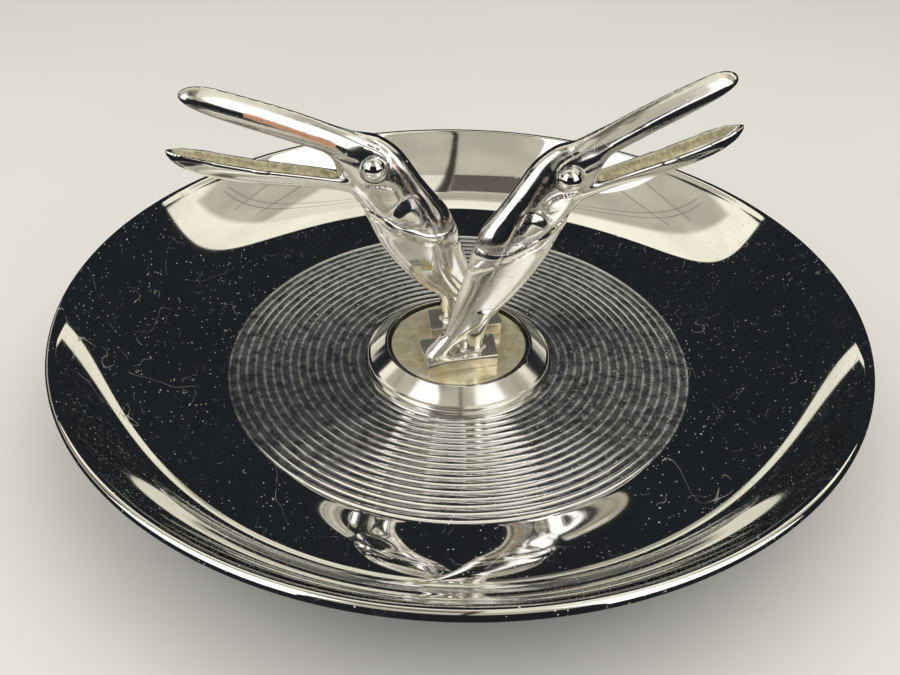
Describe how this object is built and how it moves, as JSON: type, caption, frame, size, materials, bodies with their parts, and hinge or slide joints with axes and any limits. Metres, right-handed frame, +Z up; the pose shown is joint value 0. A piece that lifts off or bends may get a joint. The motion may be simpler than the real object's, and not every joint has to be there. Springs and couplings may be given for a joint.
{
  "type": "bird-head ornament on a chrome dish",
  "caption": "Shallow chromed dish with a reeded floor and rolled rim; a bevelled collar at its middle carries back-to-back cast bird heads with long open bills.",
  "frame": {"origin": "on the dish's axis, at the level of the surface it stands on", "axes": "+Z up; +X towards the right-hand bird's bill as seen from the front, +Y away from the viewer"},
  "size_m": [0.254, 0.254, 0.1066],
  "materials": {
    "dish_chrome": "bright plate with fine scratches and dust",
    "collar_chrome": "bright plate, turned",
    "seat_nickel": "tarnished plate",
    "casting_chrome": "bright plate with copper showing at worn edges",
    "eye_chrome": "polished",
    "plain_steel": "zinc-plated",
    "felt": "felt"
  },
  "bodies": {
    "root": {"dish": "dish_chrome", "collar": "collar_chrome", "seat_disc": "seat_nickel", "right_bird": "casting_chrome", "left_bird": "casting_chrome", "right_bird_front_eye": "eye_chrome", "right_bird_rear_eye": "eye_chrome", "left_bird_front_eye": "eye_chrome", "left_bird_rear_eye": "eye_chrome", "clamp_plate": "plain_steel", "screw_washers": "plain_steel", "ornament_screws": "plain_steel", "foot_ring": "dish_chrome", "felt_ring": "felt"}
  },
  "joints": []
}
